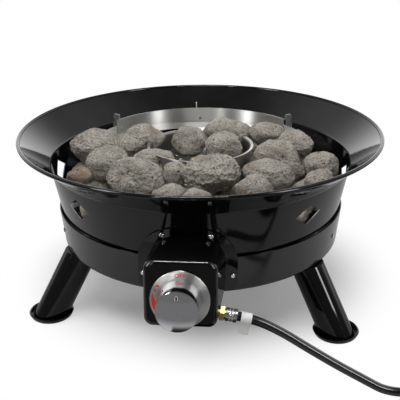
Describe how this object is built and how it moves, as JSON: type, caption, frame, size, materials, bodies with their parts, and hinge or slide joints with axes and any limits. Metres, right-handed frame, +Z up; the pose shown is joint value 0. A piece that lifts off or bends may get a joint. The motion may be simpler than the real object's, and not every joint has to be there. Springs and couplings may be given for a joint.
{
  "type": "tabletop gas fire pit",
  "caption": "Round tabletop gas fire pit: flared black fire bowl with lava rocks on a base pan with three splayed tubular legs, front control knob, and a gas hose with its regulator.",
  "frame": {"origin": "on the floor, under the axis of the fire bowl", "axes": "+Z up, -Y towards the control box and its knob, +X to the side the gas hose leaves on"},
  "size_m": [0.8317, 0.8151, 0.2989],
  "materials": {
    "black_enamel": "glossy",
    "black_paint_gloss": "glossy",
    "zinc_steel": "satin",
    "stainless_polished": "polished",
    "stainless_brushed": "brushed",
    "chrome": "polished",
    "brass": "satin",
    "cast_zinc": "satin",
    "aluminium": "satin",
    "black_rubber": "satin",
    "hose_rubber": "satin",
    "tag_paper": "matte",
    "lava_rock": "matte",
    "black_plastic": "satin",
    "black_coupling_plastic": "matte"
  },
  "bodies": {
    "frame": {"fire_bowl": "black_enamel", "base_pan": "black_paint_gloss", "support_brackets": "zinc_steel", "bracket_rivets": "zinc_steel", "leg_tube_left": "black_enamel", "leg_tube_right": "black_enamel", "leg_tube_rear": "black_enamel", "foot_flange_left": "black_enamel", "foot_flange_right": "black_enamel", "foot_flange_rear": "black_enamel", "top_flange_left": "black_enamel", "top_flange_right": "black_enamel", "top_flange_rear": "black_enamel", "leg_studs": "zinc_steel", "leg_washers": "zinc_steel", "leg_nuts": "zinc_steel", "rock_tray": "stainless_brushed", "flame_ring": "stainless_polished", "burner_ring": "stainless_brushed", "burner_posts": "zinc_steel", "burner_grate": "stainless_brushed", "air_mixer": "brass", "gas_orifice": "brass", "gas_tube": "aluminium", "tube_grommet": "black_rubber", "box_cover": "black_enamel", "cover_screws": "zinc_steel", "valve_body": "cast_zinc", "dial_plate": "stainless_polished", "valve_lock_nut": "brass", "inlet_pipe": "brass", "inlet_nut": "brass", "inlet_ferrule": "zinc_steel", "outer_rocks": "lava_rock", "middle_rocks": "lava_rock", "top_rocks_left": "lava_rock", "top_rocks_front": "lava_rock", "top_rocks_right": "lava_rock", "ring_rocks": "lava_rock", "hose_run": "hose_rubber", "hose_coil": "hose_rubber", "hose_tail": "hose_rubber", "hose_tag": "tag_paper", "end_ferrule": "zinc_steel", "regulator_body": "cast_zinc", "regulator_cap": "cast_zinc", "tank_nipple": "brass"},
    "knob": {"knob": "chrome", "knob_cap": "chrome", "knob_pointer": "black_plastic", "valve_stem": "brass"},
    "push": {"push_collar": "zinc_steel", "return_spring": "zinc_steel"},
    "guard": {"guard_band": "stainless_polished", "guard_rail": "stainless_brushed", "guard_fins": "stainless_polished", "guard_rivets": "zinc_steel"},
    "coupling": {"coupling_nut": "black_coupling_plastic"}
  },
  "joints": [
    {"name": "knob_push", "type": "slide", "parent": "frame", "child": "push", "axis": [0, 0.9914, -0.1305], "range_m": [0, 0.003], "stiffness_N_per_m": 1500, "springref_m": -0.001, "deforming": ["return_spring"]},
    {"name": "knob_turn", "type": "hinge", "parent": "push", "child": "knob", "pos_m": [0, -0.342, 0.1648], "axis": [0, -0.9914, 0.1305], "range_deg": [0, 160]},
    {"name": "guard_lift", "type": "slide", "parent": "frame", "child": "guard", "axis": [0, 0, 1], "range_m": [0, 0.06]},
    {"name": "coupling_nut_spin", "type": "hinge", "parent": "frame", "child": "coupling", "pos_m": [0.4997, -0.3417, 0.042], "axis": [1, 0, 0], "continuous": true}
  ]
}
